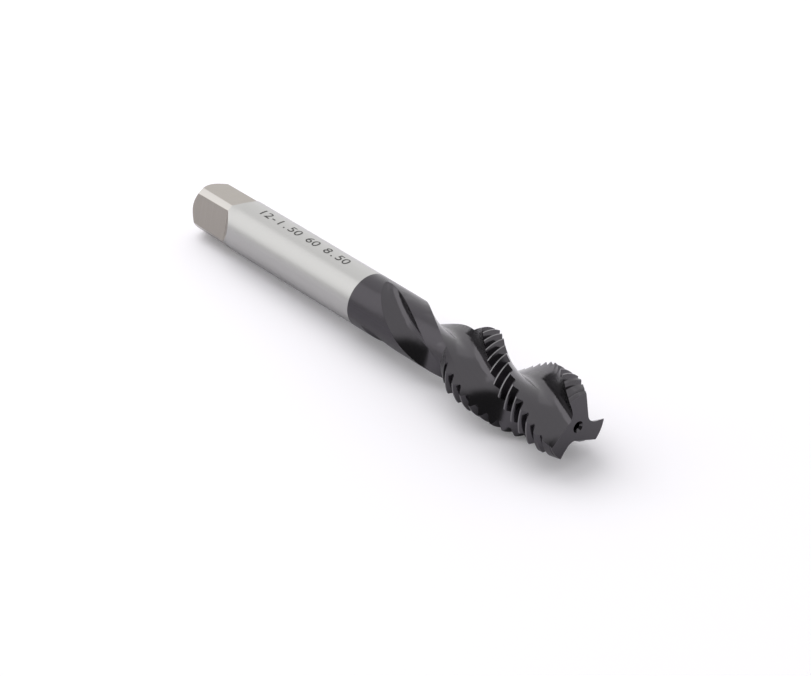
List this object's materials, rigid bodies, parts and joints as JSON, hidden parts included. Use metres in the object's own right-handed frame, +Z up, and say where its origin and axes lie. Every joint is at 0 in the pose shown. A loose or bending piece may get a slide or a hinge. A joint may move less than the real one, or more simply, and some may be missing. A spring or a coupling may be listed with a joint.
{
  "type": "spiral-flute thread tap",
  "caption": "Spiral-flute machine tap: fine-pitch thread teeth on helical lands, a tapered cutting lead, a round ground shank and a square drive end.",
  "frame": {"origin": "centre of the tap's bounding box, on the surface it lies on", "axes": "+X towards the cutting end, which stands 1.6 degrees higher than the shank; +Z up; +Y to the left as seen from the drive end"},
  "size_m": [0.0822, 0.012, 0.0121],
  "materials": {
    "tool_steel": "bright ground shank and drive square, thin dark satin coating on the fluted and threaded half"
  },
  "bodies": {
    "root": {"tap_body": "tool_steel"}
  },
  "joints": []
}
